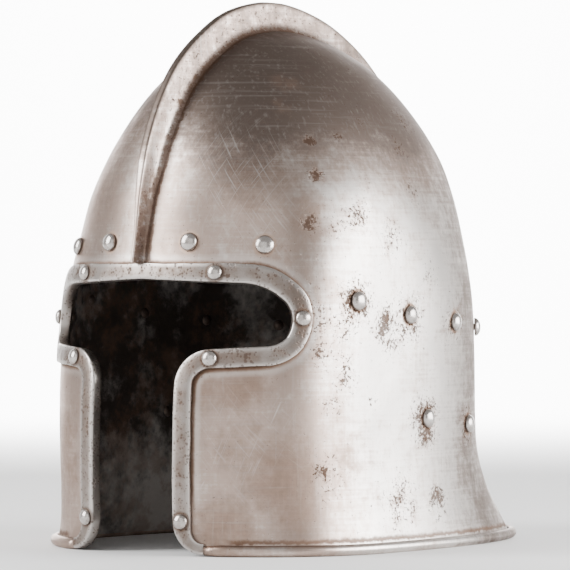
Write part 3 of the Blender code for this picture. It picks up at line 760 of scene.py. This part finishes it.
def plate_depth(across, root, normal):
    """How far below the root's line the plate lies, at a distance to the side.

    Points are taken along the root's normal. A point is inside the skull where the sum of across
    over the half width and along over the reach, each to the power n, is under 1. The depth is
    halved in on from a span that holds the plate.
    """
    deepest, highest, halvings = -0.012, 0.001, 24
    low = np.full(across.shape, deepest)
    high = np.full(across.shape, highest)
    for _ in range(halvings):
        depth = (low + high) / 2.0
        y = root[:, None, 1] + normal[:, None, 1] * depth
        z = root[:, None, 2] + normal[:, None, 2] * depth
        measures = np.moveaxis(section_at(place_of_height(z)), -1, 0)
        _, width, front, back, middle, front_square, back_square = measures
        ahead = y < -middle
        power = np.where(ahead, front_square, back_square)
        reach = np.where(ahead, front - middle, back + middle)
        part = (np.abs(across) / np.maximum(width, 1e-6)) ** power
        part = part + (np.abs(y + middle) / np.maximum(reach, 1e-6)) ** power
        outside = (part > 1.0) | (z > skull_height)
        low = np.where(outside, low, depth)
        high = np.where(outside, depth, high)
    return (low + high) / 2.0


rise_places = np.linspace(place_of_height(comb_front), apex_place, line_samples)
fall_places = np.linspace(apex_place, place_of_height(comb_nape), line_samples)[1:]
middle_line = np.concatenate((plate_point(rise_places, 0.0), plate_point(fall_places, math.pi)))
line_run = run_along(middle_line)
comb_shares = np.linspace(0.0, 1.0, comb_stations)
comb_run = comb_shares * line_run[-1]
comb_line = np.stack([np.interp(comb_run, line_run, middle_line[:, k]) for k in range(3)], axis=1)
comb_line[:, 0] = 0.0
comb_along = np.gradient(comb_line, axis=0)
comb_normal = unit(np.stack((0.0 * comb_shares, -comb_along[:, 2], comb_along[:, 1]), axis=1))
comb_up = np.maximum(soft_curve(comb_shares, comb_rise), comb_rise[-1, 1])

# The ridge is slighter where it is lower: root and crest narrow with the rise down to a least share.
root_least, crest_least = 0.33, 0.38
root_half = comb_root * np.clip(2.2 * comb_up - 0.80, root_least, 1.0)
crest_half = comb_crest * np.clip(2.6 * comb_up - 0.95, crest_least, 1.0)
half_across = crest_half[:, None] + comb_section[:, 0] * (root_half - crest_half)[:, None]
half_across[:, 0] = 0.0

# The flanks bend down to the plate, and two corners hidden under it close the section.
flank_start = 0.15
least_rise = 0.02
hidden_share = 0.8
hidden_depth = 0.0007
foot = np.clip(comb_section[:, 0] - flank_start, 0.0, 1.0) ** 0.5
half_up = comb_section[:, 1] * np.maximum(comb_up, least_rise)[:, None] * comb_height
half_up = half_up + foot * plate_depth(half_across, comb_line, comb_normal)
half_up = half_up + np.minimum(comb_up, 0.0)[:, None] * comb_height
section_across = np.concatenate((-half_across[:, :0:-1], half_across), axis=1)
section_up = np.concatenate((half_up[:, :0:-1], half_up), axis=1)
hidden_across = half_across[:, -1:] * (hidden_share, -hidden_share)
hidden_up = half_up[:, -1:] - (hidden_depth, hidden_depth)
section_across = np.concatenate((section_across, hidden_across), axis=1)
section_up = np.concatenate((section_up, hidden_up), axis=1)
comb_points = comb_line[:, None, :] + comb_normal[:, None, :] * section_up[..., None]
bent = np.clip(1.0 - comb_shares / bend_share, 0.0, 1.0)[:, None] ** 2
comb_points[..., 0] = section_across - comb_bend * bent
comb_points = comb_points + frame_shift
comb_points[..., 2] = np.minimum(comb_points[..., 2], skull_high.z)


def tube_faces(stations, corners):
    """Faces of a closed profile carried along a path: each corner joins its neighbour and the next two."""
    at = np.arange(stations * corners).reshape(stations, corners)
    beside = np.roll(at, -1, axis=1)
    return np.stack((at[:-1], beside[:-1], beside[1:], at[1:]), axis=-1).reshape(-1, 4)


def swept_piece(name, points, material):
    """A closed piece from rings of corners along a path, with an end face at both ends."""
    stations, corners = points.shape[:2]
    at = np.arange(stations * corners).reshape(stations, corners)
    ends = [at[0, ::-1].tolist(), at[-1].tolist()]
    item = mesh_item(name, points, tube_faces(stations, corners)[:, ::-1].tolist() + ends, crease=38.0)
    item.data.materials.append(material)
    return item


comb = swept_piece("comb", comb_points, plate_steel)

# How far each corner lies from the comb's foot, less than 0 on the comb, and which corners of the
# comb are on its crest and on its flanks.
comb_side = 0.02
comb_foot = 0.14
comb_tail = 0.004
crest_end, flank_end = 0.0, 0.03
plate_gaps = np.full(len(shells), far_off)
near_comb = np.flatnonzero((np.abs(shells[:, 0]) < comb_side) & (shells[:, 2] > comb_foot))
root_line = comb_line[::2] + frame_shift
station = np.argmin(((shells[near_comb, None, 1:] - root_line[None, :, 1:]) ** 2).sum(axis=2), axis=1)
plate_gaps[near_comb] = np.abs(shells[near_comb, 0]) - root_half[::2][station]
past_end = np.linalg.norm(shells[near_comb, 1:] - root_line[station, 1:], axis=1) - comb_tail
plate_gaps[near_comb] = np.maximum(plate_gaps[near_comb], past_end)
vertex_values(skull, "from_comb", plate_gaps)
vertex_values(comb, "from_comb", (np.abs(section_across) - root_half[:, None]).ravel())
side_of_crest = np.concatenate((comb_section[:0:-1, 0], comb_section[:, 0], (1.0, 1.0)))
vertex_values(comb, "on_flank", np.tile(side_of_crest > flank_end, comb_stations))
vertex_values(comb, "on_crest", np.tile(side_of_crest < crest_end, comb_stations))
for value_name, value in (("from_edge", far_off), ("from_rivet", far_off), ("rivet_halo", 0.0)):
    vertex_values(comb, value_name, np.full(comb_points.size // 3, value))
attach(comb, "root")


# Strip round the face
# A steel strip folded over the raw edge of the opening, one leg outside and a narrower one inside,
# and closed with rivets. It follows the slot, the cheeks and the stem, and ends round the chin corners.

strip_width = 0.0105
inner_share = 0.667
strip_outer_wall = 0.0022
strip_inner_wall = 0.0016
strip_gap = 0.0003
inner_gap = 0.0006
strip_taper = 0.55
fold_round = 0.0012
edge_round = 0.0006
crown_up = 0.0001

strip_points, strip_inward = opening_outline(arc_steps=20, spacing=0.0012)
fall = np.clip(1.0 - (strip_points[:, 1] - strip_lift) / chin_radius, 0.0, 1.0)
strip_share = 1.0 - (1.0 - strip_taper) * fall ** 2
strip_points = np.concatenate((strip_points[:0:-1] * (-1.0, 1.0), strip_points))
strip_inward = np.concatenate((strip_inward[:0:-1] * (-1.0, 1.0), strip_inward))
strip_share = np.concatenate((strip_share[:0:-1], strip_share))
strip_run = run_along(strip_points)

# The section, corner by corner round it. Columns: across from the fold as a share of the leg's
# width, fixed part of across, and height over the plate's outer face.
face = strip_gap + strip_outer_wall
under = -plate_thickness - inner_gap
low = under - strip_inner_wall
strip_section = np.array((
    (1.0, 0.0, strip_gap), (1.0, 0.0, face - edge_round),
    (1.0, -0.3 * edge_round, face - 0.3 * edge_round), (1.0, -edge_round, face),
    (0.75, 0.0, face + crown_up), (0.5, 0.0, face + 1.4 * crown_up), (0.3, 0.0, face + 0.8 * crown_up),
    (0.0, fold_round, face), (0.0, 0.5 * fold_round, face - 0.13 * fold_round),
    (0.0, 0.13 * fold_round, face - 0.5 * fold_round), (0.0, 0.0, face - fold_round),
    (0.0, 0.0, low + fold_round),
    (0.0, 0.13 * fold_round, low + 0.5 * fold_round), (0.0, 0.5 * fold_round, low + 0.13 * fold_round),
    (0.0, fold_round, low), (inner_share, 0.0, low), (inner_share, 0.0, under),
    (0.0, strip_inner_wall, under),
    (0.0, strip_inner_wall, strip_gap),
))

# Filing left the leg's width wavering a little along its run.
waver_share = 0.02
waver = waver_share * np.sin(strip_run * 210.0) * np.sin(strip_run * 57.0 + 0.8)
leg = (strip_width * strip_share * (1.0 + waver) - brow_narrowing(strip_points))[:, None]
across = strip_section[:, 0] * leg + strip_section[:, 1]
strip_flat = strip_points[:, None, :] + strip_inward[:, None, :] * across[..., None]
strip_spots, strip_normals = wrapped(strip_flat.reshape(-1, 2))
up = np.tile(strip_section[:, 2], len(strip_points))
strip_corners = strip_spots + strip_normals * up[:, None]
strip_corners = strip_corners.reshape(len(strip_points), len(strip_section), 3)


def strip_finish(name):
    """Browner and duller than the plate, with a painted highlight along both edges, and dirt round the
    rivets.
    """
    steel_grey, worn_brown = (0.300, 0.266, 0.243, 1.0), (0.186, 0.146, 0.123, 1.0)
    dull_brown, edge_highlight = (0.210, 0.160, 0.130, 1.0), (0.780, 0.750, 0.720, 1.0)
    pit_black, rivet_dirt = (0.080, 0.050, 0.038, 1.0), (0.110, 0.070, 0.050, 1.0)
    steel = Steel(name)
    broad = steel.cloud(34.0, 4.0, 0.6)
    mottle = steel.cloud(170.0, 5.0, 0.72)
    worn = (broad + (mottle - 0.5) * 0.6).fade(0.32, 0.66)
    dull = mottle.fade(0.46, 0.66)
    ground = (dull * 0.55).tint(worn.tint(steel_grey, worn_brown), dull_brown)
    # Painted highlight: a light colour along the bevel and the fold, which are also less rough.
    edge_highlight_mask = steel.named("painted_edge_highlight") * (mottle + 0.55)
    ground = (edge_highlight_mask * 0.60).tint(ground, edge_highlight)
    pits = (broad * 0.45 + (mottle - 0.5) * 1.4 + 0.02 - steel.specks(560.0) * 0.7).fade(0.0, 0.14)
    ground = (pits * 0.60).tint(ground, pit_black)
    ring = (steel.named("from_rivet") + (mottle - 0.5) * 0.002).fade(0.0066, 0.0048)
    ground = (ring * 0.75).tint(ground, rivet_dirt)
    roughness = 0.36 + dull * 0.14 - edge_highlight_mask * 0.08 + pits * 0.2 + ring * 0.2
    relief = broad * 0.5 + mottle * 0.12 - pits * 0.1
    return steel.finish(ground, roughness, relief, 0.0007)


strip_steel = strip_finish("strip_steel")
strip = swept_piece("face_strip", strip_corners[:, ::-1], strip_steel)

# Where the strip's rivets sit along the opening. Columns: name, distance round the plate, height.
brow_rivet_reach = 0.0462
chin_rivet_height = 0.0180
slot_middle = 0.45 * slot_top + 0.55 * slot_bottom
strip_rivets = (
    ("brow", brow_rivet_reach, slot_top),
    ("temple", slot_reach, slot_middle),
    ("cheek", stem_half + cheek_radius, slot_bottom),
    ("chin", stem_half, chin_rivet_height),
)
edge_fine, inward_fine = opening_outline(arc_steps=40, spacing=0.0004)
strip_places = []
for _, far, high in strip_rivets:
    near = np.argmin(np.linalg.norm(edge_fine - (far, high), axis=1))
    middle = (strip_width - brow_narrowing(edge_fine[near])) / 2.0
    strip_places.append(edge_fine[near] + inward_fine[near] * middle)
strip_places = np.array(strip_places)
strip_places = np.concatenate((strip_places, strip_places * (-1.0, 1.0)))
strip_rivet_spots, strip_rivet_normals = wrapped(strip_places)
strip_rivet_spots = strip_rivet_spots + strip_rivet_normals * face
strip_spread = strip_corners[:, ::-1].reshape(-1, 3)
strip_gaps = np.linalg.norm(strip_spread[:, None, :] - strip_rivet_spots[None, :, :], axis=2)

# How strong the painted highlight is at each corner of the section, in the section's own order.
highlight_outside = (0.2, 0.7, 1.0, 0.6, 0.05, 0.0, 0.05, 0.6, 1.0, 0.9, 0.6, 0.2, 0.1)
highlight_profile = np.zeros(len(strip_section))
highlight_profile[:len(highlight_outside)] = highlight_outside
vertex_values(strip, "painted_edge_highlight", np.tile(highlight_profile[::-1], len(strip_points)))
vertex_values(strip, "from_rivet", strip_gaps.min(axis=1))
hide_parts("face_band")
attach(strip, "root")


# Rivets
# Steel rivets with domed heads, set hot from outside and hammered flat over the inside. A row of
# larger ones once held the lining, and smaller ones close the strip.

lining_head = 0.0052
lining_dome = 0.0035
strip_head = 0.00435
strip_dome = 0.0030
shank = 0.0018
peen = 0.0031
peen_dome = 0.0012
peen_gap = 0.0006
head_lift = 0.0002
dome_edge = 0.12
rivet_sides = 36


def rivet_profile(head, dome, grip):
    """Half a rivet's outline from the top of the dome to the middle of the peened end.

    The dome is an arc over the head's edge, a straight shank follows, and then a low cone.
    Columns: distance from the axis, height over the face that the head sits on.
    """
    angles = np.linspace(0.0, math.pi / 2.0, 10)[1:]
    dome_up = head_lift + dome * (dome_edge + (1.0 - dome_edge) * np.cos(angles))
    dome_part = np.stack((head * np.sin(angles), dome_up), axis=1)
    rest = (
        (head * 0.985, head_lift), (shank, head_lift), (shank, -grip), (peen, -grip),
        (0.8 * peen, -grip - 0.6 * peen_dome),
    )
    return np.concatenate((dome_part, rest))


def rivet_piece(name, profile, dome, grip, spot, normal, size, material):
    """A profile turned about the plate's normal at a spot, closed by a fan at both ends."""
    aside = np.cross(normal, (0.0, 0.0, 1.0))
    aside = aside / np.linalg.norm(aside)
    upright = np.cross(normal, aside)
    angles = np.linspace(0.0, 2.0 * math.pi, rivet_sides, endpoint=False)
    spokes = np.cos(angles)[:, None] * aside + np.sin(angles)[:, None] * upright
    reach, high = profile[:, 0] * size, profile[:, 1]
    rings = spot + reach[:, None, None] * spokes + high[:, None, None] * normal
    tips = spot + np.array(((head_lift + dome,), (-grip - peen_dome,))) * normal
    points = np.concatenate((rings.reshape(-1, 3), tips))
    quads = tube_faces(len(profile), rivet_sides)
    first = np.arange(rivet_sides)
    last = first + (len(profile) - 1) * rivet_sides
    tip = np.full(rivet_sides, len(points) - 2)
    fans = np.concatenate((
        np.stack((np.roll(first, -1), first, tip), axis=1),
        np.stack((last, np.roll(last, -1), tip + 1), axis=1),
    ))
    item = mesh_item(name, points, quads.tolist() + fans.tolist(), crease=50.0)
    item.data.materials.append(material)
    low_on_head = np.concatenate((np.clip(1.0 - profile[:, 1] / dome, 0.0, 1.0), (0.0, 1.0)))
    skirt = np.concatenate((np.repeat(low_on_head[:-2], rivet_sides), low_on_head[-2:]))
    vertex_values(item, "skirt", skirt)
    return item


def rivet_finish(name):
    """Heads rubbed bright on top, with brown dirt where they meet the plate."""
    rubbed_top, dull_grey = (0.540, 0.505, 0.480, 1.0), (0.400, 0.360, 0.330, 1.0)
    skirt_dirt = (0.110, 0.070, 0.050, 1.0)
    steel = Steel(name)
    mottle = steel.cloud(380.0, 4.0, 0.6)
    ground = mottle.fade(0.40, 0.75).tint(rubbed_top, dull_grey)
    skirt = (steel.named("skirt") + (mottle - 0.5) * 0.5).fade(0.62, 1.0)
    ground = (skirt * 0.85).tint(ground, skirt_dirt)
    roughness = 0.24 + mottle.fade(0.4, 0.8) * 0.08 + skirt * 0.3
    return steel.finish(ground, roughness)


rivet_steel = rivet_finish("rivet_steel")
chance = np.random.default_rng(7)
strip_grip = strip_outer_wall + strip_gap + plate_thickness + inner_gap + strip_inner_wall + peen_gap
rivet_kinds = (
    ("lining_rivet", [row[0] for row in lining_rivets], rivet_spots, rivet_normals,
     lining_head, lining_dome, plate_thickness + peen_gap),
    ("band_rivet", [row[0] for row in strip_rivets], strip_rivet_spots, strip_rivet_normals,
     strip_head, strip_dome, strip_grip),
)
for kind, names, spots, normals, head, dome, grip in rivet_kinds:
    labels = [f"{kind}_{name}_{hand}" for hand in ("left", "right") for name in names]
    profile = rivet_profile(head, dome, grip)
    for label, spot, normal in zip(labels, spots, normals):
        size = chance.uniform(0.95, 1.0)
        rivet = rivet_piece(label + "_head", profile, dome, grip, spot, normal, size, rivet_steel)
        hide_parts(label)
        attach(rivet, "root")


# Floor, light and camera
# A plain white sweep, large soft lamps, and the camera level with the eye slot, 39 degrees round
# from the face towards the wearer's left.

view_turn = math.radians(38.9)
camera_distance = 2.25
right = Vector((math.cos(view_turn), math.sin(view_turn), 0.0))
back = Vector((math.sin(view_turn), -math.cos(view_turn), 0.0))
aim = Vector((0.0, frame_shift[1], 0.145)) + right * 0.0073


def sheet_of_paper(name, near, far, wide, rise, bend):
    """A floor that turns up into a wall behind the object, as one bent sheet.

    Along is the distance across the floor away from the camera. Past the bend the sheet follows a
    quarter circle and then goes straight up.
    """
    angles = np.linspace(0.0, math.pi / 2.0, 24)
    along = np.concatenate(((near,), far + bend * np.sin(angles), (far + bend,)))
    up = np.concatenate(((0.0,), bend * (1.0 - np.cos(angles)), (bend + rise,)))
    base = np.array((*(-back)[:2], 0.0))
    side = np.array((*right[:2], 0.0))
    spread = np.array((-wide, wide))
    points = along[:, None, None] * base + spread[None, :, None] * side
    points[..., 2] = up[:, None]
    at = np.arange(points.size // 3).reshape(points.shape[:2])
    faces = np.stack((at[:-1, :-1], at[1:, :-1], at[1:, 1:], at[:-1, 1:]), axis=-1).reshape(-1, 4)
    return mesh_item(name, points, faces.tolist())


floor_paint = bpy.data.materials.new("floor_paint")
floor_paint.use_nodes = True
paint = floor_paint.node_tree.nodes["Principled BSDF"].inputs
paint["Base Color"].default_value = (0.92, 0.92, 0.92, 1.0)
paint["Roughness"].default_value = 0.9
floor = sheet_of_paper("floor_sweep", near=-6.0, far=2.2, wide=6.0, rise=2.4, bend=0.8)
floor.data.materials.append(floor_paint)

world = bpy.data.worlds.new("studio")
world.use_nodes = True
room_light = world.node_tree.nodes["Background"].inputs
room_light["Color"].default_value = (1.0, 0.975, 0.955, 1.0)
room_light["Strength"].default_value = 0.48
bpy.context.scene.world = world


def soft_lamp(name, azimuth, elevation, distance, width, height, power, target=None):
    """A rectangular lamp aimed at the helmet or a target.

    Azimuth counts from the camera's side to its right, and both angles are in degrees.
    """
    turned = view_turn + math.radians(azimuth)
    tilt = math.radians(elevation)
    way = Vector((math.sin(turned) * math.cos(tilt), -math.cos(turned) * math.cos(tilt), math.sin(tilt)))
    lamp = bpy.data.lights.new(name, "AREA")
    lamp.shape = "RECTANGLE"
    lamp.size = width
    lamp.size_y = height
    lamp.energy = power
    item = bpy.data.objects.new(name, lamp)
    item.location = aim + way * distance
    facing = item.location - (target or aim)
    item.rotation_euler = (-facing).to_track_quat("-Z", "Y").to_euler()
    bpy.context.scene.collection.objects.link(item)


# In this order: azimuth, elevation, distance, width, height, power and target.
soft_lamp("right_lamp", 79.0, 6.0, 1.25, 1.25, 1.05, 53.0)
soft_lamp("front_lamp", -12.0, 16.0, 2.0, 1.8, 1.4, 8.0)
soft_lamp("left_lamp", -76.0, 26.0, 1.5, 0.8, 1.2, 33.0)
soft_lamp("paper_lamp", 180.0, 28.0, 2.2, 1.7, 0.5, 235.0, aim - back * 3.0)

camera = bpy.data.cameras.new("camera")
camera.lens = 252.4
camera.sensor_width = 36.0
camera.clip_end = 20.0
camera_item = bpy.data.objects.new("camera", camera)
camera_item.location = aim + back * camera_distance
camera_item.rotation_euler = (-back).to_track_quat("-Z", "Y").to_euler()
bpy.context.scene.collection.objects.link(camera_item)
bpy.context.scene.camera = camera_item
